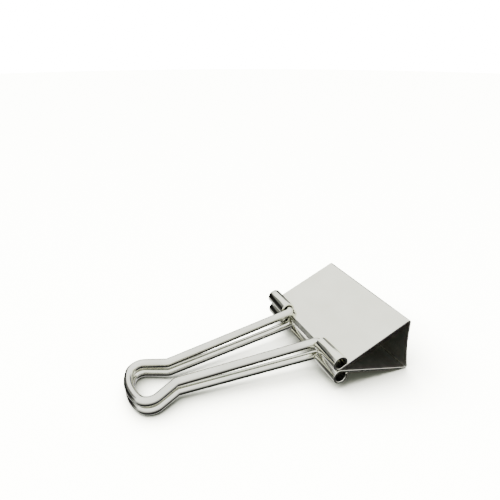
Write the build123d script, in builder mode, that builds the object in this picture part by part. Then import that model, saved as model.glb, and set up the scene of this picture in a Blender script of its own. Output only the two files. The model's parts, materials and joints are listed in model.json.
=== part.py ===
"""Small steel binder clip: a sprung triangular body and two hinged wire handles.

The clip lies on one leaf's corner and one loop, with both handles pointing
forwards.  X runs from the loops to the spine, Y along the hem, Z up, and the
origin is on the ground under the middle of the clip.  The body is one bent
sheet; it is split along the middle of its spine, where its jaws hinge open.
"""

import os
from math import asin, atan, atan2, cos, degrees, hypot, isclose, radians, sin, sqrt

from build123d import *

# --- Driving dimensions (mm, degrees) ---------------------------------------

sheet = 0.28  # thickness of the spring steel
width = 19.0  # along the hem
leaf_length = 11.4  # hem to spine corner, along the middle of the sheet
leaf_angle = 19.5  # each leaf from the clip's middle plane
spine_bow = 0.3  # how far the middle of the spine curves inwards
corner_radius = 0.3  # middle of the sheet, where a leaf turns into the spine

lip_radius = 0.4  # middle of the sheet, at the tight bend of each jaw
lip_bulge = 0.12  # how much rounder the rolled hem is than the wire's seat
hem_length = 4.7  # each of the two rolled tubes of a jaw
hem_end_angle = 36.0  # how far the rolled edge comes down behind the hem
tab_width = 5.7  # half-rolled tab between the two tubes, at its root
tab_edge_width = 3.8  # the same tab at its free edge
tab_end_angle = 172.0  # where the tab's roll stops, just above its front

wire = 1.25  # diameter of the handle wire
wire_clearance = 0.05  # between the wire and the flat side of the rolled hem
pin_recess = 1.4  # from the mouth of a tube to the end of the pin in it
pin_chamfer = 0.1
foot_clearance = 0.1  # between a leg and the inner end of a tube
foot_radius = 0.75  # bend between pin and leg
neck_distance = 19.9  # hem axis to the neck of the handle
neck_half_width = 2.12
neck_radius = 0.7
flare_angle = 28.2  # each side of the loop, from the handle's middle line
flare_length = 4.6  # neck to the corner of the loop
loop_crown = 1.5  # how far the loop's end curves out past its corners
loop_corner_radius = 1.63

jaw_gap = 0.02  # between the two closed lips
split_gap = 0.02  # between the two halves of the spine
loop_gap = 0.04  # between the two loops

# --- Sheet section, in the clip's own plane: u to the spine, w outwards -------

slope = radians(leaf_angle)
seat = wire / 2 + wire_clearance + sheet / 2  # hem axis to the leaf's middle
roll_radius = seat + lip_bulge  # middle of the rolled sheet
lip_drop = seat - lip_radius
lip_reach = sqrt((roll_radius - lip_radius) ** 2 - lip_drop**2)
lip_angle = degrees(atan2(-lip_drop, -lip_reach)) % 360  # roll meets lip, from the leaf
lip_low = lip_reach * sin(slope) + lip_drop * cos(slope) + lip_radius + sheet / 2

hem_height = lip_low + jaw_gap / 2  # hem axis from the clip's middle plane
foot_u = seat * sin(slope)  # leaf's middle, square to the hem axis
foot_w = hem_height - seat * cos(slope)
corner_u = foot_u + leaf_length * cos(slope)
corner_w = foot_w + leaf_length * sin(slope)
spine_radius = (corner_w**2 + spine_bow**2) / (2 * spine_bow)
spine_half_turn = degrees(asin(corner_w / spine_radius))
split_turn = degrees(asin(split_gap / 2 / spine_radius))

# --- Handle: distances from the hem axis, and half widths ---------------------

tube_start = width / 2 - hem_length
foot_half_width = tube_start - foot_clearance - wire / 2
pin_end = width / 2 - pin_recess
flare = radians(flare_angle)
loop_corner_distance = neck_distance + flare_length * cos(flare)
loop_corner_half_width = neck_half_width + flare_length * sin(flare)
loop_distance = loop_corner_distance + loop_crown
handle_pitch = asin((hem_height - (wire + loop_gap) / 2) / loop_distance)
loop_u = -loop_distance * cos(handle_pitch)
loop_w = (wire + loop_gap) / 2

# --- Rest pose: lower spine corner and lower loop both touch the ground -------

corner_half_angle = radians(90 - leaf_angle) / 2 - atan(spine_bow / corner_w)
bisector = radians(180) + slope + corner_half_angle
bend_u = corner_u + corner_radius / sin(corner_half_angle) * cos(bisector)
bend_w = corner_w + corner_radius / sin(corner_half_angle) * sin(bisector)
bend_outer = corner_radius + sheet / 2
rest_angle = asin((bend_outer - wire / 2) / hypot(bend_u - loop_u, loop_w - bend_w)) + atan2(
    bend_w - loop_w, bend_u - loop_u
)

front_end = loop_u * cos(rest_angle) - loop_w * sin(rest_angle) - wire / 2
back_end = bend_u * cos(rest_angle) + bend_w * sin(rest_angle) + bend_outer
ground = bend_u * sin(rest_angle) - bend_w * cos(rest_angle) - bend_outer
clip_origin = Vector(-(front_end + back_end) / 2, 0, -ground)


def section_plane(side):
    """Plane across the hem: x to the spine, y outwards on that side (1 up, -1 down)."""
    to_spine = (cos(rest_angle), 0, sin(rest_angle))
    return Plane(origin=clip_origin, x_dir=to_spine, z_dir=(0, -side, 0))


def leaf_plane(side):
    """Plane at the hem axis, looking along the leaf: x along the hem, y off the leaf."""
    section = section_plane(side)
    along = section.x_dir * cos(slope) + section.y_dir * sin(slope)
    axis = section.from_local_coords((0, hem_height, 0))
    return Plane(origin=axis, x_dir=(0, side, 0), z_dir=along)


def handle_plane(side):
    """Plane of a resting handle: x from the hem axis to the loop, y along the hem."""
    section = section_plane(side)
    to_loop = section.x_dir * -cos(handle_pitch) - section.y_dir * sin(handle_pitch)
    axis = section.from_local_coords((0, hem_height, 0))
    return Plane(origin=axis, x_dir=to_loop, z_dir=to_loop.cross(Vector(0, 1, 0)))


def leaf_section(plane):
    """A leaf and its half of the spine, from the hem to the split."""
    with BuildSketch(plane) as section:
        with BuildLine() as path:
            corner = (corner_u, corner_w)
            Line((foot_u, foot_w), corner)
            middle = (corner_u - spine_bow + spine_radius, 0)
            CenterArc(middle, spine_radius, 180 - spine_half_turn, spine_half_turn - split_turn)
            fillet(path.vertices().sort_by_distance(corner)[0], corner_radius)
        trace(line_width=sheet)
    return section.sketch


def roll_section(plane, end_angle):
    """Rolled edge of a jaw, from the leaf round the lip to end_angle about the hem."""
    axis = Vector(0, hem_height)
    lip_centre = axis + Vector(-lip_reach, -lip_drop).rotate(Axis.Z, leaf_angle)
    with BuildSketch(plane) as section:
        with BuildLine():
            CenterArc(axis, roll_radius, leaf_angle + end_angle, lip_angle - end_angle)
            lip = CenterArc(lip_centre, lip_radius, leaf_angle + lip_angle, 270 - lip_angle)
            Line(lip @ 1, (foot_u, foot_w))
        trace(line_width=sheet)
    return section.sketch


def tab_outline(side):
    """Outline of the tab, seen along the leaf: narrower from its root to its free edge."""
    root = tab_width / 2
    edge = tab_edge_width / 2
    low = -(seat + sheet)
    high = roll_radius * sin(radians(tab_end_angle))
    with BuildSketch(leaf_plane(side)) as outline:
        with BuildLine():
            half = Polyline((0, low), (root, low), (root, -seat), (edge, high), (edge, seat), (0, seat))
            mirror(half, about=Plane.YZ)
        make_face()
    return outline.sketch


def make_jaw(side):
    """Half of the sprung body: a leaf, half of the spine, two hem tubes and a tab."""
    plane = section_plane(side)
    leaf = leaf_section(plane)
    half_roll = roll_section(plane, tab_end_angle)
    tab = tab_outline(side)
    hems = [roll_section(plane.offset(end * tube_start), -hem_end_angle) for end in (-1, 1)]
    with BuildPart() as jaw:
        extrude(half_roll, amount=tab_width / 2, both=True)
        extrude(tab, amount=2 * roll_radius, both=True, mode=Mode.INTERSECT)
        extrude(hems[0], amount=-hem_length)
        extrude(hems[1], amount=hem_length)
        extrude(leaf, amount=width / 2, both=True)
    return jaw


def make_handle(side):
    """Bent wire: two pins, two straight legs that meet at a neck, and a loop."""

    def at_half_width(half_width):
        return lambda vertex: isclose(abs(vertex.Y), half_width, abs_tol=1e-4)

    plane = handle_plane(side)
    with BuildPart() as handle:
        with BuildLine(plane) as outline:
            for end in (-1, 1):
                Polyline(
                    (0, end * pin_end),
                    (0, end * foot_half_width),
                    (neck_distance, end * neck_half_width),
                    (loop_corner_distance, end * loop_corner_half_width),
                )
            ThreePointArc(
                (loop_corner_distance, -loop_corner_half_width),
                (loop_distance, 0),
                (loop_corner_distance, loop_corner_half_width),
            )
            fillet(outline.vertices().filter_by(at_half_width(foot_half_width)), foot_radius)
            fillet(outline.vertices().filter_by(at_half_width(neck_half_width)), neck_radius)
            corners = outline.vertices().filter_by(at_half_width(loop_corner_half_width))
            fillet(corners, loop_corner_radius)
        pin_tip = plane.from_local_coords((0, pin_end, 0))
        with BuildSketch(Plane(origin=pin_tip, z_dir=(0, -1, 0))):
            Circle(wire / 2)
        sweep(path=outline.wires()[0])
        chamfer(handle.edges().filter_by(GeomType.CIRCLE).group_by(Axis.Y)[0], pin_chamfer)
        chamfer(handle.edges().filter_by(GeomType.CIRCLE).group_by(Axis.Y)[-1], pin_chamfer)
    return handle


upper_jaw = make_jaw(1)
upper_jaw.part.label = "upper_jaw"

lower_jaw = make_jaw(-1)
lower_jaw.part.label = "lower_jaw"

upper_handle = make_handle(1)
upper_handle.part.label = "upper_handle"

lower_handle = make_handle(-1)
lower_handle.part.label = "lower_handle"

os.makedirs("parts", exist_ok=True)
for piece in (upper_jaw, lower_jaw, upper_handle, lower_handle):
    export_step(piece.part, f"parts/{piece.part.label}.step")
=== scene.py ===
"""Small nickel-plated binder clip on its frame: sprung sheet body, curved spine and two wire handles."""

import json
from math import asin, atan2, ceil, cos, hypot, pi, radians, sin, sqrt, tan

import bmesh
import bpy
from mathutils import Matrix, Vector
from mathutils.kdtree import KDTree


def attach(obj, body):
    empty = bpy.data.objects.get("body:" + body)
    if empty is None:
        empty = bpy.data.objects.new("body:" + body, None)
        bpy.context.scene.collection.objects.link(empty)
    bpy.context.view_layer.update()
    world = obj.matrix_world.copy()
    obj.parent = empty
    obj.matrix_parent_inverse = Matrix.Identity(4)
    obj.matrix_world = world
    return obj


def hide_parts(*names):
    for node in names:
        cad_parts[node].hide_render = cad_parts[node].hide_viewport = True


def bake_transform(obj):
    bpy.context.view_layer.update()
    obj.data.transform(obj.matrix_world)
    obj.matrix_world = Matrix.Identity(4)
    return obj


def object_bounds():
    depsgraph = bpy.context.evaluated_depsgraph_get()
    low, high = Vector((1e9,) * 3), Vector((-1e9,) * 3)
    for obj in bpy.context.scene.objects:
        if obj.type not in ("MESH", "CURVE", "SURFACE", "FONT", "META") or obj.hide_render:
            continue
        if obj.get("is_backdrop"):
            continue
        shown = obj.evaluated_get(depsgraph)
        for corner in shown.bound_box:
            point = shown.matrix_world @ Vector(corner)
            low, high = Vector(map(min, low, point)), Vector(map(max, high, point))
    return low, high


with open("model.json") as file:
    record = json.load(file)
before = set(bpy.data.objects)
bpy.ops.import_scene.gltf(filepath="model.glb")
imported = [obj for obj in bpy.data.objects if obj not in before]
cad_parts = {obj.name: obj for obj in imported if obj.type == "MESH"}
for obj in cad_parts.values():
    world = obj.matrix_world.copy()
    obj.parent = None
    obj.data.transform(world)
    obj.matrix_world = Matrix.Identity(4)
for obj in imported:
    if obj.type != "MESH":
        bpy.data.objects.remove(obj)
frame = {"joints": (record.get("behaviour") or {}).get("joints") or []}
CAD_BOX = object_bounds()

bl_info = {
    "name": "Binder Clip",
    "version": (1, 0, 0),
    "blender": (4, 5, 0),
    "location": "3D View > Sidebar > Binder Clip",
    "description": "Builds a sprung steel binder clip with two hinged wire handles",
    "category": "Add Mesh",
}

MM = 0.001
TOUCH = 0.001 * MM  # places closer than this are the same place

ROLL_STEP = radians(5)
LIP_STEP = radians(5)
CORNER_STEP = radians(6)
SPINE_STEPS = 64  # from corner to corner
HEEL_STEPS = 8  # of them that each jaw keeps, so that the seam is clear of the corner
WIRE_SIDES = 48
WIRE_STEP = radians(4)
STRAIGHT_STEP = 1.0 * MM

CUT_EDGE_TURN = radians(60)  # sharper edges than this are cut edges of the sheet
CUT_EDGE_STEPS = 3
CHAMFER_STEPS = 4
FLATNESS = 80  # how strongly a large face keeps its own normal
INSIDE, EDGE, BORE = 1, 2, 3  # material slots of the sheet, after its outside


# --- Properties ---------------------------------------------------------------


def linear(hex_colour):
    """Linear red, green, blue and alpha of an sRGB hex colour."""
    channels = [int(hex_colour[i : i + 2], 16) / 255 for i in (1, 3, 5)]
    return [c / 12.92 if c <= 0.04045 else ((c + 0.055) / 1.055) ** 2.4 for c in channels] + [1.0]


def size(name, description, millimetres):
    """A length that a user may change, given in millimetres."""
    return bpy.props.FloatProperty(
        name=name, description=description, default=millimetres * MM, min=0.0, unit="LENGTH", precision=5
    )


def turn(name, description, degrees):
    """An angle that a user may change, given in degrees."""
    return bpy.props.FloatProperty(
        name=name, description=description, default=radians(degrees), unit="ROTATION"
    )


def colour(name, description, hex_colour):
    """A colour that a user may change, given as sRGB hex."""
    return bpy.props.FloatVectorProperty(
        name=name, description=description, default=linear(hex_colour), size=4, subtype="COLOR", min=0, max=1
    )


class BinderClipBody(bpy.types.PropertyGroup):
    """Sizes of the bent sheet, all to the middle of its thickness."""

    sheet: size("Sheet", "Thickness of the spring steel", 0.28)
    width: size("Width", "Along the hem", 19.0)
    leaf: size("Leaf", "Hem to spine corner", 11.4)
    leaf_angle: turn("Leaf angle", "Each leaf from the clip's middle plane", 19.5)
    spine_bow: size("Spine bow", "How far the middle of the spine curves inwards", 0.3)
    corner: size("Corner", "Radius where a leaf turns into the spine", 0.3)
    seat: size("Seat", "Hem axis to the leaf", 0.815)
    bulge: size("Bulge", "How much rounder the rolled hem is than its seat", 0.12)
    lip: size("Lip", "Radius of the tight bend of each jaw", 0.4)
    hem: size("Hem", "Length of each rolled tube", 4.7)
    hem_end: turn("Hem end", "How far the rolled edge comes down behind the hem", 36.0)
    tab: size("Tab", "Width of the tab between the tubes, at its root", 5.7)
    tab_edge: size("Tab edge", "Width of the same tab at its free edge", 3.8)
    tab_end: turn("Tab end", "Where the tab's roll stops, from the leaf", 172.0)
    cut_edge: size("Cut edge", "Width of the rounded corner along each cut edge", 0.05)


class BinderClipHandle(bpy.types.PropertyGroup):
    """Sizes of a wire handle, from the hem axis and the handle's middle line."""

    wire: size("Wire", "Diameter of the wire", 1.25)
    loop_gap: size("Loop gap", "Room between the two loops at rest", 0.04)
    pin_end: size("Pin end", "Middle of the clip to the end of a pin", 8.1)
    pin_chamfer: size("Pin chamfer", "Rounded rim of each pin's cut end", 0.1)
    foot: size("Foot", "Half the width between the legs at the hem", 4.075)
    foot_bend: size("Foot bend", "Radius of the bend between pin and leg", 0.75)
    neck_distance: size("Neck distance", "Hem axis to neck", 19.9)
    neck: size("Neck", "Half the width between the legs at the neck", 2.12)
    neck_bend: size("Neck bend", "Radius of the bend at the neck", 0.7)
    flare: turn("Flare", "Each side of the loop from the handle's middle line", 28.2)
    flare_length: size("Flare length", "Neck to the corner of the loop", 4.6)
    crown: size("Crown", "How far the loop's end curves out past its corners", 1.5)
    loop_bend: size("Loop bend", "Radius of each corner of the loop", 1.63)


class BinderClipFinish(bpy.types.PropertyGroup):
    """Colours of the plating, the cut and rubbed edges, the inside and the hem bores (both darkened as
    painted shade), and the ground with its painted shadow.
    """

    plating: colour("Plating", "Bright nickel on rolled sheet, a little warm", "#E2E3D2")
    plating_thin: colour("Thin plating", "The same nickel where it is thinner", "#DADBCA")
    wire_plating: colour("Wire plating", "Bright nickel on drawn wire", "#DCDDD0")
    wire_drawn: colour("Drawn lines", "Nickel in the fine lines that the die leaves", "#C8C9BC")
    # Painted shade: the inside colours are darker than the plating, standing in for the shade inside the
    # body.
    inside: colour("Inside", "Thin nickel over dark tempered steel", "#B8B8B0")
    painted_shade_inside_dark: colour("Inside, dark", "The same where hardly any nickel reached", "#ABABA3")
    # Painted shade: the hem bore colours are dark, standing in for the shade inside the rolled hem and tab.
    bore: colour("Hem bore", "Bare tempered steel on the hollow side of the hem", "#3C3D38")
    bore_rubbed_painted_shade: colour("Hem bore, rubbed", "The same where the wire has rubbed it", "#62635B")
    rubbed: colour("Rubbed edge", "Steel that shows where an edge has lost its nickel", "#CFCDBF")
    edge: colour("Cut edge", "Burnished edge of the sheared sheet", "#D8D9CD")
    ground: colour("Ground", "Matt white table", "#F1F2E6")
    # Painted shadow: the table's colour close round the clip, mixed in by ambient occlusion.
    painted_table_shadow: colour("Ground shade", "The table close round the clip", "#62645A")


# --- Where the clip lies --------------------------------------------------------


def joint_point(name):
    """The point of a joint's axis in the clip's middle plane."""
    joint = next(j for j in frame["joints"] if j["name"] == name)
    return Vector(joint["pos_m"])


UPPER_HEM = joint_point("upper_handle_swing")
LOWER_HEM = joint_point("lower_handle_swing")
HEM_MIDDLE = (UPPER_HEM + LOWER_HEM) / 2
HEM_HEIGHT = (UPPER_HEM - LOWER_HEM).length / 2
ALONG_HEM = Vector((0, 1, 0))
TO_SPINE = (joint_point("jaw_opening") - HEM_MIDDLE).normalized()


def axes(origin, forwards):
    """Matrix of a piece's own axes: X forwards, Y along the hem, Z square to both."""
    columns = Matrix((forwards, ALONG_HEM, forwards.cross(ALONG_HEM))).transposed()
    return Matrix.Translation(origin) @ columns.to_4x4()


UPPER_SECTION = axes(HEM_MIDDLE, TO_SPINE)
LOWER_SECTION = UPPER_SECTION @ Matrix.Rotation(pi, 4, "X")


class BodySection:
    """Middle line of the upper half of the sheet: X to the spine, Z outwards from the middle plane."""

    def __init__(self, body):
        slope = body.leaf_angle
        self.along = Vector((cos(slope), 0, sin(slope)))
        self.off = Vector((-sin(slope), 0, cos(slope)))
        self.hem = Vector((0, 0, HEM_HEIGHT))
        self.foot = self.hem - self.off * body.seat

        self.roll = body.seat + body.bulge
        drop = body.seat - body.lip
        reach = sqrt((self.roll - body.lip) ** 2 - drop**2)
        self.lip = self.hem - self.along * reach - self.off * drop
        self.lip_start = self.foot - self.along * reach
        self.lip_turn = atan2(reach, drop)
        self.lip_angle = pi + atan2(drop, reach)

        tip = self.foot + self.along * body.leaf
        self.bow_radius = (tip.z**2 + body.spine_bow**2) / (2 * body.spine_bow)
        self.bow = Vector((tip.x - body.spine_bow + self.bow_radius, 0, 0))
        start = self.foot - self.off * body.corner - self.bow
        ahead = start.dot(self.along)
        apart = start.length_squared - (self.bow_radius + body.corner) ** 2
        self.flat = -ahead - sqrt(ahead**2 - apart)
        self.corner = self.foot + self.along * self.flat - self.off * body.corner
        from_bow = self.corner - self.bow
        self.spine_turn = atan2(from_bow.z, -from_bow.x)
        self.corner_turn = pi / 2 + slope + self.spine_turn
        self.seam_turn = self.spine_turn * (1 - 2 * HEEL_STEPS / SPINE_STEPS)
        self.inside = Vector((self.foot.x + body.leaf / 2, 0, 0))

    def place(self, point):
        """How far a point is along the leaf from its foot, and how far off the leaf's middle."""
        return (point - self.foot).dot(self.along), (point - self.foot).dot(self.off)

    def spine_point(self, angle, radius):
        """A point of the spine at an angle above the middle plane, seen from its centre of curvature."""
        return self.bow + Vector((-cos(angle), 0, sin(angle))) * radius

    def is_inside(self, face):
        """Whether a face looks into the triangle between the leaves and the spine."""
        centre = face.calc_center_median()
        along, off = self.place(centre)
        inwards = Vector((self.inside.x - centre.x, 0, -centre.z)).normalized()
        return along > 0 and off < -TOUCH and face.normal.dot(inwards) > 0.2

    def is_bore(self, face):
        """Whether a face is on the hollow side of a rolled hem."""
        centre = face.calc_center_median()
        along, off = self.place(centre)
        to_hem = Vector((self.hem.x - centre.x, 0, self.hem.z - centre.z))
        rolled = off > self.roll / 4 or along < -TOUCH
        return rolled and to_hem.length < self.roll and face.normal.dot(to_hem.normalized()) > 0.7


# --- Modelling ------------------------------------------------------------------


def named(name):
    """The object that the last operator added, with its name."""
    piece = bpy.context.active_object
    piece.name = name
    piece.data.name = name
    return piece


def pick(piece):
    """Makes a piece the only selected object."""
    bpy.ops.object.select_all(action="DESELECT")
    piece.select_set(True)
    bpy.context.view_layer.objects.active = piece


def edit(piece):
    """Opens a piece in edit mode."""
    pick(piece)
    bpy.ops.object.mode_set(mode="EDIT")


def leave():
    """Leaves edit mode."""
    bpy.ops.object.mode_set(mode="OBJECT")


def settle(piece, matrix):
    """Puts a piece at a place, and moves that place into its mesh."""
    pick(piece)
    piece.matrix_world = matrix
    bpy.ops.object.transform_apply(location=True, rotation=True, scale=True)


def select_edges(piece, test):
    """Selects the edges whose two ends pass the test."""
    bpy.ops.mesh.select_mode(type="EDGE")
    bpy.ops.mesh.select_all(action="DESELECT")
    mesh = bmesh.from_edit_mesh(piece.data)
    for edge in mesh.edges:
        edge.select_set(all(test(end.co) for end in edge.verts))
    bmesh.update_edit_mesh(piece.data)


def select_faces(piece, test):
    """Selects the faces that pass the test."""
    bpy.ops.mesh.select_mode(type="FACE")
    bpy.ops.mesh.select_all(action="DESELECT")
    mesh = bmesh.from_edit_mesh(piece.data)
    for face in mesh.faces:
        face.select_set(test(face))
    bmesh.update_edit_mesh(piece.data)


def extrude(offset):
    """Extrudes the selected edges by an offset."""
    bpy.ops.mesh.extrude_edges_move(TRANSFORM_OT_translate={"value": offset})


def sweep(centre, axis, angle, steps):
    """Spins the selected edges right-handed round an axis."""
    bpy.ops.mesh.spin(steps=steps, angle=-angle, center=centre, axis=axis, use_auto_merge=False)


def steps_for(angle, step):
    """How many equal steps no wider than the given one make a turn."""
    return ceil(abs(angle) / step)


def cut(point, normal, clear=False):
    """Bisects the selection, and may clear the side that the normal points to."""
    bpy.ops.mesh.bisect(plane_co=point, plane_no=normal, clear_outer=clear, threshold=TOUCH)


def point_faces(piece, outwards=None):
    """Merges doubles and makes all faces point one way: to the given side on an open sheet."""
    edit(piece)
    bpy.ops.mesh.select_all(action="SELECT")
    bpy.ops.mesh.remove_doubles(threshold=TOUCH)
    bpy.ops.mesh.normals_make_consistent(inside=False)
    largest = max(bmesh.from_edit_mesh(piece.data).faces, key=lambda face: face.calc_area())
    if outwards and largest.normal.dot(outwards) < 0:
        bpy.ops.mesh.flip_normals()
    leave()


def modify(piece, kind, **settings):
    """Adds a modifier, sets it and applies it."""
    pick(piece)
    modifier = piece.modifiers.new(kind.title(), kind)
    for name, value in settings.items():
        setattr(modifier, name, value)
    bpy.ops.object.modifier_apply(modifier=modifier.name)


def smooth(piece):
    """Smooth shading in which the large faces stay flat."""
    pick(piece)
    bpy.ops.object.shade_smooth()
    modify(piece, "WEIGHTED_NORMAL", mode="FACE_AREA", weight=FLATNESS, keep_sharp=True)


def give_thickness(piece, body, section, is_seam):
    """Turns a sheet into a plate with rounded cut edges, and gives its surfaces their material slots."""
    modify(piece, "SOLIDIFY", thickness=body.sheet, offset=0, use_even_offset=True, material_offset_rim=EDGE)
    edit(piece)
    bpy.ops.mesh.select_mode(type="EDGE")
    bpy.ops.mesh.select_all(action="DESELECT")
    bpy.ops.mesh.edges_select_sharp(sharpness=CUT_EDGE_TURN)
    mesh = bmesh.from_edit_mesh(piece.data)
    for edge in mesh.edges:
        if all(is_seam(end.co) for end in edge.verts):
            edge.select_set(False)
            edge.smooth = False
    bmesh.update_edit_mesh(piece.data)
    bpy.ops.mesh.bevel(offset=body.cut_edge, segments=CUT_EDGE_STEPS, affect="EDGES", material=EDGE)
    for slot, test in ((INSIDE, section.is_inside), (BORE, section.is_bore)):
        select_faces(piece, lambda face: face.material_index == 0 and test(face))
        piece.active_material_index = slot
        bpy.ops.object.material_slot_assign()
    leave()
    smooth(piece)


def model_jaw(body, section):
    """Upper jaw's sheet: flat leaf, corner, heel of the spine, two rolled tubes and the half-rolled tab."""
    half = body.width / 2
    tube_start = half - body.hem
    root = body.tab / 2
    bpy.ops.object.select_all(action="DESELECT")
    bpy.ops.mesh.primitive_plane_add(size=1)
    jaw = named("upper_jaw_sheet")
    middle = Matrix.Translation(section.foot + section.along * section.flat / 2)
    tilt = Matrix.Rotation(-body.leaf_angle, 4, "Y")
    settle(jaw, middle @ tilt @ Matrix.Diagonal((section.flat, body.width, 1, 1)))

    edit(jaw)
    for y in (-tube_start, -root, root, tube_start):
        bpy.ops.mesh.select_all(action="SELECT")
        cut((0, y, 0), ALONG_HEM)

    tube_turn = section.lip_angle + body.hem_end
    tab_turn = section.lip_angle - body.tab_end
    for low, high, roll_turn in (
        (-half, -tube_start, tube_turn),
        (tube_start, half, tube_turn),
        (-root, root, tab_turn),
    ):
        select_edges(jaw, lambda co: abs(section.place(co)[0]) < TOUCH and low - TOUCH < co.y < high + TOUCH)
        extrude(section.lip_start - section.foot)
        sweep(section.lip, ALONG_HEM, section.lip_turn, steps_for(section.lip_turn, LIP_STEP))
        sweep(section.hem, ALONG_HEM, roll_turn, steps_for(roll_turn, ROLL_STEP))

    def is_tab(face):
        return all(abs(end.co.y) < root + TOUCH and section.place(end.co)[0] < TOUCH for end in face.verts)

    narrowing = (body.tab - body.tab_edge) / 2 / (body.seat + section.roll * sin(body.tab_end))
    for side in (-1, 1):
        select_faces(jaw, is_tab)
        cut(section.foot + side * root * ALONG_HEM, side * ALONG_HEM + section.off * narrowing, clear=True)

    select_edges(jaw, lambda co: section.place(co)[0] > section.flat - TOUCH)
    sweep(section.corner, ALONG_HEM, section.corner_turn, steps_for(section.corner_turn, CORNER_STEP))
    sweep(section.bow, ALONG_HEM, section.seam_turn - section.spine_turn, HEEL_STEPS)
    leave()
    point_faces(jaw, outwards=section.off)
    return jaw


def model_spine(body, section):
    """Spine's sheet between the two seams, curved slightly inwards."""
    steps = SPINE_STEPS - 2 * HEEL_STEPS
    step = 2 * section.seam_turn / steps
    first = section.seam_turn - step / 2
    bpy.ops.object.select_all(action="DESELECT")
    bpy.ops.mesh.primitive_plane_add(size=1)
    spine = named("spine_sheet")
    middle = Matrix.Translation(section.spine_point(first, section.bow_radius * cos(step / 2)))
    tilt = Matrix.Rotation(first - pi / 2, 4, "Y")
    chord = 2 * section.bow_radius * sin(step / 2)
    settle(spine, middle @ tilt @ Matrix.Diagonal((chord, body.width, 1, 1)))
    edit(spine)
    select_edges(spine, lambda co: co.z < middle.translation.z)
    sweep(section.bow, ALONG_HEM, -step * (steps - 1), steps - 1)
    leave()
    point_faces(spine, outwards=Vector((1, 0, 0)))
    return spine


class WirePath:
    """A wire bent in a plane. Each call lengthens the tube that ends in the selected edges."""

    def __init__(self, start, heading):
        self.end = Vector(start)
        self.heading = Vector(heading)
        self.travelled = 0.0
        self.stations = []
        self.note(0.0)

    def note(self, distance):
        """Keeps the place, the direction and the distance travelled of a ring."""
        self.travelled += distance
        self.stations.append((self.end.copy(), self.heading.copy(), self.travelled))

    def straight(self, reach):
        """A straight run."""
        steps = ceil(reach / STRAIGHT_STEP)
        for _ in range(steps):
            extrude(self.heading * reach / steps)
            self.end = self.end + self.heading * reach / steps
            self.note(reach / steps)

    def bend(self, radius, angle):
        """A bend to the left, or to the right where the angle is negative."""
        left = Vector((-self.heading.y, self.heading.x, 0))
        centre = self.end + left * (radius if angle > 0 else -radius)
        steps = steps_for(angle, WIRE_STEP)
        sweep(centre, (0, 0, 1), angle, steps)
        step = Matrix.Rotation(angle / steps, 3, "Z")
        for _ in range(steps):
            self.end = centre + step @ (self.end - centre)
            self.heading = step @ self.heading
            self.note(radius * abs(angle) / steps)


def bend_half_handle(sizes, path):
    """Bends the wire from a pin's end to the middle of the loop, each bend touching its two neighbours."""
    leg_angle = atan2(sizes.foot - sizes.neck, sizes.neck_distance)
    leg = hypot(sizes.foot - sizes.neck, sizes.neck_distance)
    foot_turn = pi / 2 - leg_angle
    neck_turn = leg_angle + sizes.flare
    foot_trim = sizes.foot_bend * tan(foot_turn / 2)
    neck_trim = sizes.neck_bend * tan(neck_turn / 2)
    path.straight(sizes.pin_end - sizes.foot - foot_trim)
    path.bend(sizes.foot_bend, foot_turn)
    path.straight(leg - foot_trim - neck_trim)
    path.bend(sizes.neck_bend, neck_turn)

    half_loop = sizes.neck + sizes.flare_length * sin(sizes.flare)
    crown_radius = (half_loop**2 + sizes.crown**2) / (2 * sizes.crown)
    crown_centre = Vector((loop_length(sizes) - crown_radius, 0, 0))
    right = Vector((path.heading.y, -path.heading.x, 0))
    to_centre = crown_centre - path.end
    sideways = sizes.loop_bend - to_centre.dot(right)
    run = to_centre.dot(path.heading) + sqrt((crown_radius - sizes.loop_bend) ** 2 - sideways**2)
    bend_centre = path.end + path.heading * run + right * sizes.loop_bend - crown_centre
    crown_turn = atan2(bend_centre.y, bend_centre.x)
    path.straight(run)
    path.bend(sizes.loop_bend, crown_turn - pi / 2 - sizes.flare)
    path.bend(crown_radius, -crown_turn)


def loop_length(sizes):
    """Distance from the hem axis to the end of the loop, at the middle of the wire."""
    return sizes.neck_distance + sizes.flare_length * cos(sizes.flare) + sizes.crown


def model_handle(sizes):
    """Upper handle, with X from the hem axis to the loop and Y along the hem."""
    bpy.ops.object.select_all(action="DESELECT")
    bpy.ops.mesh.primitive_circle_add(
        vertices=WIRE_SIDES, radius=sizes.wire / 2, location=(0, sizes.pin_end, 0), rotation=(pi / 2, 0, 0)
    )
    handle = named("upper_wire_handle")
    bpy.ops.object.transform_apply(location=True, rotation=True, scale=True)
    edit(handle)
    bpy.ops.mesh.select_mode(type="EDGE")
    bpy.ops.mesh.select_all(action="SELECT")
    path = WirePath((0, sizes.pin_end, 0), (0, -1, 0))
    bend_half_handle(sizes, path)
    select_edges(handle, lambda co: co.y > sizes.pin_end - TOUCH)
    bpy.ops.mesh.edge_face_add()
    bpy.ops.mesh.bevel(offset=sizes.pin_chamfer, segments=CHAMFER_STEPS, affect="EDGES")
    leave()
    modify(handle, "MIRROR", use_axis=(False, True, False), merge_threshold=TOUCH)
    point_faces(handle)
    smooth(handle)
    mark_drawing_direction(handle, path, sizes.wire / 2)
    return handle


def mark_drawing_direction(handle, path, radius):
    """Stores each point's place on the unbent wire: round it in X and Y, along it in Z."""
    rings = KDTree(len(path.stations))
    for index, (centre, _, _) in enumerate(path.stations):
        rings.insert(centre, index)
    rings.balance()
    unbent = handle.data.attributes.new("unbent", "FLOAT_VECTOR", "POINT")
    for vertex in handle.data.vertices:
        side = 1 if vertex.co.y >= 0 else -1
        point = Vector((vertex.co.x, abs(vertex.co.y), vertex.co.z))
        centre, heading, travelled = path.stations[rings.find(point)[1]]
        across = (point - centre).dot(Vector((-heading.y, heading.x, 0)))
        along = side * (path.travelled - travelled)
        unbent.data[vertex.index].vector = (across, point.z, along)


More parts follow.
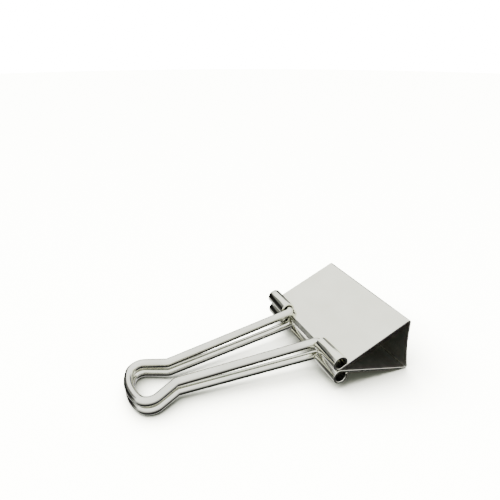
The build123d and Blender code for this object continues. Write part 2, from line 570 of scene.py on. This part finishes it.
def copy_piece(piece, name):
    """A copy of a piece with a mesh of its own."""
    pick(piece)
    bpy.ops.object.duplicate(linked=False)
    return named(name)


# --- Materials --------------------------------------------------------------------


WEAR_WIDTH = 0.08 * MM  # how far from an arris the nickel is rubbed
WORN_ROUGHNESS = 0.1  # added where the nickel is gone
LINE_DEPTH = 0.01 * MM  # of the lines that rolling or drawing leaves, at full relief
# Painted shadow on the table: how far the ambient occlusion reaches, and which way it looks.
SHADE_REACH = 14 * MM  # how far off the clip still shades the table
TABLE_LIGHT = (-0.2, 0.3, 1.0)  # where most of the table's light comes from


def add_node(tree, kind, inputs=None, **settings):
    """Adds a node, sets it, and fills its inputs from values or from other nodes' outputs."""
    node = tree.nodes.new(kind)
    for name, value in settings.items():
        setattr(node, name, value)
    for name, value in (inputs or {}).items():
        if isinstance(value, bpy.types.NodeSocket):
            tree.links.new(value, node.inputs[name])
        else:
            node.inputs[name].default_value = value
    return node


def maths(tree, operation, first, second):
    """The result of a sum on two values."""
    return add_node(tree, "ShaderNodeMath", {0: first, 1: second}, operation=operation).outputs["Value"]


def mixed(tree, share, first, second):
    """A colour between two colours."""
    inputs = {"Factor": share, "A": first, "B": second}
    return add_node(tree, "ShaderNodeMix", inputs, data_type="RGBA").outputs["Result"]


def new_material(name):
    """An empty material, its node tree and its output."""
    material = bpy.data.materials.new(name)
    material.use_nodes = True
    material.node_tree.nodes.clear()
    output = add_node(material.node_tree, "ShaderNodeOutputMaterial")
    return material, material.node_tree, output


def stretched_noise(tree, place, millimetres, detail):
    """Noise whose grains measure the given millimetres along X, Y and Z."""
    scale = [1 / (length * MM) for length in millimetres]
    stretched = add_node(tree, "ShaderNodeMapping", {"Vector": place, "Scale": scale})
    noise = add_node(
        tree, "ShaderNodeTexNoise", {"Vector": stretched.outputs["Vector"], "Scale": 1.0, "Detail": detail}
    )
    return noise.outputs["Fac"]


def spread(tree, value, low, high):
    """A noise value spread over a range."""
    ranged = add_node(
        tree,
        "ShaderNodeMapRange",
        {"Value": value, "From Min": 0.3, "From Max": 0.7, "To Min": low, "To Max": high},
    )
    return ranged.outputs["Result"]


def edge_wear(tree, patches):
    """How far the nickel is rubbed off: fully on the arris of an edge, in patches, and nowhere on a face."""
    rounded = add_node(tree, "ShaderNodeBevel", {"Radius": WEAR_WIDTH}, samples=6).outputs["Normal"]
    facing = add_node(tree, "ShaderNodeNewGeometry").outputs["Normal"]
    same = add_node(tree, "ShaderNodeVectorMath", {0: rounded, 1: facing}, operation="DOT_PRODUCT")
    arris = add_node(
        tree, "ShaderNodeMapRange", {"Value": same.outputs["Value"], "From Min": 0.99, "From Max": 0.85}
    )
    return maths(tree, "MULTIPLY", arris.outputs["Result"], spread(tree, patches, 0.2, 1.0))


def nickel(name, place_of, grain, cloud, colours, roughness, relief, rubbed):
    """Bright nickel over steel: two tones in soft clouds, fine lines along its making, and rubbed edges."""
    material, tree, output = new_material(name)
    place = place_of(tree)
    lines = stretched_noise(tree, place, grain, 3.0)
    clouds = stretched_noise(tree, place, cloud, 2.0)
    worn = edge_wear(tree, clouds)
    plating = mixed(tree, spread(tree, clouds, 0.0, 1.0), *colours)
    dulled = maths(tree, "MULTIPLY", worn, WORN_ROUGHNESS)
    bump = add_node(tree, "ShaderNodeBump", {"Height": lines, "Strength": relief, "Distance": LINE_DEPTH})
    shader = add_node(
        tree,
        "ShaderNodeBsdfPrincipled",
        {
            "Base Color": mixed(tree, worn, plating, rubbed),
            "Metallic": 1.0,
            "Roughness": maths(tree, "ADD", spread(tree, lines, *roughness), dulled),
            "Normal": bump.outputs["Normal"],
        },
    )
    tree.links.new(shader.outputs["BSDF"], output.inputs["Surface"])
    return material


def object_place(tree):
    """Object coordinates."""
    return add_node(tree, "ShaderNodeTexCoord").outputs["Object"]


def unbent_place(tree):
    """The place on the wire before it was bent."""
    return add_node(tree, "ShaderNodeAttribute", attribute_name="unbent").outputs["Vector"]


def nickel_plated_sheet(finish):
    """Rolled spring steel, bright nickel plated: a mirror with faint lines along the hem."""
    return nickel(
        "nickel_plated_rolled_steel",
        object_place,
        grain=(0.06, 2.5, 0.06),
        cloud=(2.5, 4.0, 2.5),
        colours=(finish.plating, finish.plating_thin),
        roughness=(0.07, 0.13),
        relief=0.05,
        rubbed=finish.rubbed,
    )


def painted_shade_inside(finish):
    """The same sheet inside the body, coloured darker as painted shade for the hollow between the leaves,
    and a little duller.
    """
    return nickel(
        "inside_steel_painted_shade",
        object_place,
        grain=(0.08, 2.0, 0.08),
        cloud=(1.8, 3.0, 1.8),
        colours=(finish.inside, finish.painted_shade_inside_dark),
        roughness=(0.3, 0.4),
        relief=0.03,
        rubbed=finish.painted_shade_inside_dark,
    )


def painted_shade_hem_bore(finish):
    """The hollow side of the rolled hem: dark steel colour as painted shade for the hollow, rubbed by the
    wire.
    """
    return nickel(
        "bore_steel_painted_shade",
        object_place,
        grain=(0.1, 0.4, 0.1),
        cloud=(0.8, 1.5, 0.8),
        colours=(finish.bore, finish.bore_rubbed_painted_shade),
        roughness=(0.28, 0.4),
        relief=0.05,
        rubbed=finish.bore_rubbed_painted_shade,
    )


def sheared_edge(finish):
    """Cut edges of the sheet, burnished by the die and plated: light, with short strokes across."""
    return nickel(
        "nickel_plated_sheared_edge",
        object_place,
        grain=(0.05, 0.09, 0.05),
        cloud=(0.8, 0.8, 0.8),
        colours=(finish.edge, finish.plating),
        roughness=(0.14, 0.24),
        relief=0.12,
        rubbed=finish.rubbed,
    )


def nickel_plated_wire(finish):
    """Drawn steel wire, bright nickel plated: a mirror with the die's fine lines along its length."""
    return nickel(
        "nickel_plated_drawn_wire",
        unbent_place,
        grain=(0.07, 0.07, 3.0),
        cloud=(0.9, 0.9, 3.5),
        colours=(finish.wire_plating, finish.wire_drawn),
        roughness=(0.06, 0.14),
        relief=0.05,
        rubbed=finish.rubbed,
    )


def white_table(finish):
    """Matt white laminate, lit from above, with a painted shadow: ambient occlusion darkens its colour
    softly round what lies on it.
    """
    material, tree, output = new_material("matt_white_laminate_painted_shadow")
    towards_light = add_node(tree, "ShaderNodeCombineXYZ", dict(zip("XYZ", TABLE_LIGHT)))
    openness = add_node(
        tree,
        "ShaderNodeAmbientOcclusion",
        {"Distance": SHADE_REACH, "Normal": towards_light.outputs["Vector"]},
        samples=16,
    )
    # Painted shadow: the colour turns from the table's white to the shadow colour where the clip is near.
    open_share = add_node(
        tree, "ShaderNodeMapRange", {"Value": openness.outputs["AO"], "From Min": 0.25, "From Max": 0.95}
    )
    shader = add_node(
        tree,
        "ShaderNodeBsdfPrincipled",
        {
            "Base Color": mixed(tree, open_share.outputs["Result"], finish.painted_table_shadow, finish.ground),
            "Roughness": 0.6,
            "Specular IOR Level": 0.2,
        },
    )
    tree.links.new(shader.outputs["BSDF"], output.inputs["Surface"])
    return material


# --- Stage ------------------------------------------------------------------------


TABLE_RADIUS = 0.6
BACKDROP_LIGHT = 18.0
SUN_LIGHT = 50.0
SUN_TURN = (radians(-18), radians(-14), 0)
SUN_WIDTH = radians(80)
CAMERA_PLACE = Vector((-23.37, -49.70, 42.99)) * MM
CAMERA_TURN = (radians(90 - 24.66), 0, radians(-23.98))
CAMERA_LENS = 34.13
SENSOR_WIDTH = 36

# Grey levels of the studio round the metal, at heights of the direction from -1 to 1.
DOME_LIGHT = 2.9
BEHIND = ((-1.0, 0.4), (-0.45, 0.4), (-0.25, 0.1), (-0.12, 0.05), (0.16, 0.05), (0.34, 0.9), (1.0, 1.0))
IN_FRONT = ((-1.0, 0.01), (-0.6, 0.01), (-0.35, 0.12), (0.0, 0.5), (0.2, 0.85), (1.0, 1.0))
FRONT_EDGE = ((0.1, 1.0), (0.4, 0.0))  # share of the front, by Y

# Dark flags behind the clip: how much light each takes away, by X, by Z and by Y.
SIDE_FLAG = (((-0.36, 0.9), (-0.26, 0.0)), ((0.6, 1.0), (0.7, 0.0)), ((0.3, 0.0), (0.5, 1.0)))
SPINE_FLAG = (((0.4, 0.0), (0.5, 0.85)), ((0.5, 1.0), (0.62, 0.0)), ((0.55, 0.0), (0.65, 1.0)))
FAR_FLAG = (((-1.0, 0.85), (1.0, 0.85)), ((0.35, 1.0), (0.5, 0.0)), ((0.83, 0.0), (0.9, 1.0)))


def add_ramp(tree, value, stops):
    """Levels of grey at places from -1 to 1."""
    share = add_node(tree, "ShaderNodeMapRange", {"Value": value, "From Min": -1.0}).outputs["Result"]
    ramp = add_node(tree, "ShaderNodeValToRGB", {"Fac": share})
    elements = ramp.color_ramp.elements
    while len(elements) < len(stops):
        elements.new(0.5)
    for element, (place, level) in zip(elements, stops):
        element.position = (place + 1) / 2
        element.color = (level, level, level, 1)
    return ramp.outputs["Color"]


def set_world():
    """A studio: a white backdrop, and a grey dome with a dark horizon and three flags in the metal."""
    world = bpy.data.worlds.new("studio")
    world.use_nodes = True
    tree = world.node_tree
    tree.nodes.clear()
    direction = add_node(tree, "ShaderNodeTexCoord").outputs["Generated"]
    towards = add_node(tree, "ShaderNodeSeparateXYZ", {"Vector": direction}).outputs
    dome = mixed(
        tree,
        add_ramp(tree, towards["Y"], FRONT_EDGE),
        add_ramp(tree, towards["Z"], BEHIND),
        add_ramp(tree, towards["Z"], IN_FRONT),
    )
    strength = DOME_LIGHT
    for sideways, upwards, backwards in (SIDE_FLAG, SPINE_FLAG, FAR_FLAG):
        band = maths(
            tree, "MULTIPLY", add_ramp(tree, towards["X"], sideways), add_ramp(tree, towards["Z"], upwards)
        )
        shade = maths(tree, "MULTIPLY", band, add_ramp(tree, towards["Y"], backwards))
        strength = maths(tree, "MULTIPLY", maths(tree, "SUBTRACT", 1.0, shade), strength)
    seen = add_node(tree, "ShaderNodeBackground", {"Color": (1, 1, 1, 1), "Strength": BACKDROP_LIGHT})
    lit = add_node(tree, "ShaderNodeBackground", {"Color": dome, "Strength": strength})
    is_camera = add_node(tree, "ShaderNodeLightPath").outputs["Is Camera Ray"]
    studio = add_node(
        tree,
        "ShaderNodeMixShader",
        {0: is_camera, 1: lit.outputs["Background"], 2: seen.outputs["Background"]},
    )
    add_node(tree, "ShaderNodeOutputWorld", {"Surface": studio.outputs["Shader"]})
    bpy.context.scene.world = world


def add_sun():
    """A broad lamp that lights the ground but isn't mirrored in the metal."""
    bpy.ops.object.select_all(action="DESELECT")
    bpy.ops.object.light_add(type="SUN", rotation=SUN_TURN)
    lamp = bpy.context.active_object
    lamp.name = "ceiling_light"
    lamp.data.energy = SUN_LIGHT
    lamp.data.angle = SUN_WIDTH
    lamp.visible_glossy = False


def add_camera():
    """The camera, at the height and distance of a hand-held close view."""
    bpy.ops.object.select_all(action="DESELECT")
    bpy.ops.object.camera_add(location=CAMERA_PLACE, rotation=CAMERA_TURN)
    camera = bpy.context.active_object
    camera.name = "camera"
    camera.data.lens = CAMERA_LENS
    camera.data.sensor_width = SENSOR_WIDTH
    camera.data.clip_start = 1 * MM
    bpy.context.scene.camera = camera


# --- Operators --------------------------------------------------------------------


class BINDERCLIP_OT_body(bpy.types.Operator):
    """Build the two jaws and the spine between them"""

    bl_idname = "binderclip.body"
    bl_label = "Body"
    bl_options = {"REGISTER", "UNDO"}

    def execute(self, context):
        body = context.scene.binder_clip_body
        finish = context.scene.binder_clip_finish
        section = BodySection(body)
        finishes = (nickel_plated_sheet, painted_shade_inside, sheared_edge, painted_shade_hem_bore)
        materials = [make_finish(finish) for make_finish in finishes]
        upper = model_jaw(body, section)
        spine = model_spine(body, section)
        seam_height = section.spine_point(section.seam_turn, section.bow_radius).z
        for piece in (upper, spine):
            for material in materials:
                piece.data.materials.append(material)
            give_thickness(
                piece,
                body,
                section,
                lambda co: co.x > section.corner.x and abs(abs(co.z) - seam_height) < body.sheet / 10,
            )
        lower = copy_piece(upper, "lower_jaw_sheet")
        settle(upper, UPPER_SECTION)
        settle(lower, LOWER_SECTION)
        settle(spine, UPPER_SECTION)

        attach(upper, "upper_jaw")
        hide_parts("upper_jaw")
        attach(lower, "lower_jaw")
        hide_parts("lower_jaw")
        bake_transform(spine)
        return {"FINISHED"}


class BINDERCLIP_OT_handles(bpy.types.Operator):
    """Build the two wire handles, folded forwards over each other"""

    bl_idname = "binderclip.handles"
    bl_label = "Handles"
    bl_options = {"REGISTER", "UNDO"}

    def execute(self, context):
        sizes = context.scene.binder_clip_handle
        upper = model_handle(sizes)
        upper.data.materials.append(nickel_plated_wire(context.scene.binder_clip_finish))
        lower = copy_piece(upper, "lower_wire_handle")
        pitch = asin((HEM_HEIGHT - (sizes.wire + sizes.loop_gap) / 2) / loop_length(sizes))
        for piece, section, hem, node in (
            (upper, UPPER_SECTION, UPPER_HEM, "upper_handle"),
            (lower, LOWER_SECTION, LOWER_HEM, "lower_handle"),
        ):
            to_loop = section.to_3x3() @ Vector((-cos(pitch), 0, -sin(pitch)))
            settle(piece, axes(hem, to_loop))
            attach(piece, node)
            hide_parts(node)
        return {"FINISHED"}


class BINDERCLIP_OT_stage(bpy.types.Operator):
    """Lay the white table, and set up the studio light and the camera"""

    bl_idname = "binderclip.stage"
    bl_label = "Stage"
    bl_options = {"REGISTER", "UNDO"}

    def execute(self, context):
        bpy.ops.object.select_all(action="DESELECT")
        bpy.ops.mesh.primitive_circle_add(vertices=128, radius=TABLE_RADIUS, fill_type="NGON")
        table = named("table")
        table.data.materials.append(white_table(context.scene.binder_clip_finish))
        table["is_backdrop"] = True
        table.visible_glossy = False
        set_world()
        add_sun()
        add_camera()
        return {"FINISHED"}


class BINDERCLIP_PT_panel(bpy.types.Panel):
    """Builds the clip, piece by piece"""

    bl_idname = "BINDERCLIP_PT_panel"
    bl_label = "Binder Clip"
    bl_space_type = "VIEW_3D"
    bl_region_type = "UI"
    bl_category = "Binder Clip"

    def draw(self, context):
        for operator in OPERATORS:
            self.layout.operator(operator.bl_idname)
        for group in PROPERTY_GROUPS:
            box = self.layout.box()
            settings = getattr(context.scene, group)
            for name in settings.bl_rna.properties.keys():
                if name not in ("rna_type", "name"):
                    box.prop(settings, name)


OPERATORS = (BINDERCLIP_OT_body, BINDERCLIP_OT_handles, BINDERCLIP_OT_stage)
PROPERTY_GROUPS = {
    "binder_clip_body": BinderClipBody,
    "binder_clip_handle": BinderClipHandle,
    "binder_clip_finish": BinderClipFinish,
}


def register():
    for group in PROPERTY_GROUPS.values():
        bpy.utils.register_class(group)
    for name, group in PROPERTY_GROUPS.items():
        setattr(bpy.types.Scene, name, bpy.props.PointerProperty(type=group))
    for operator in OPERATORS:
        bpy.utils.register_class(operator)
    bpy.utils.register_class(BINDERCLIP_PT_panel)


def unregister():
    bpy.utils.unregister_class(BINDERCLIP_PT_panel)
    for operator in reversed(OPERATORS):
        bpy.utils.unregister_class(operator)
    for name in PROPERTY_GROUPS:
        delattr(bpy.types.Scene, name)
    for group in PROPERTY_GROUPS.values():
        bpy.utils.unregister_class(group)


def main():
    register()
    bpy.ops.binderclip.body()
    bpy.ops.binderclip.handles()
    bpy.ops.binderclip.stage()
    boxes = {"cad": CAD_BOX, "visual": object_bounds()}
    boxes = {name: [list(corner) for corner in box] for name, box in boxes.items()}


if __name__ == "__main__":
    main()
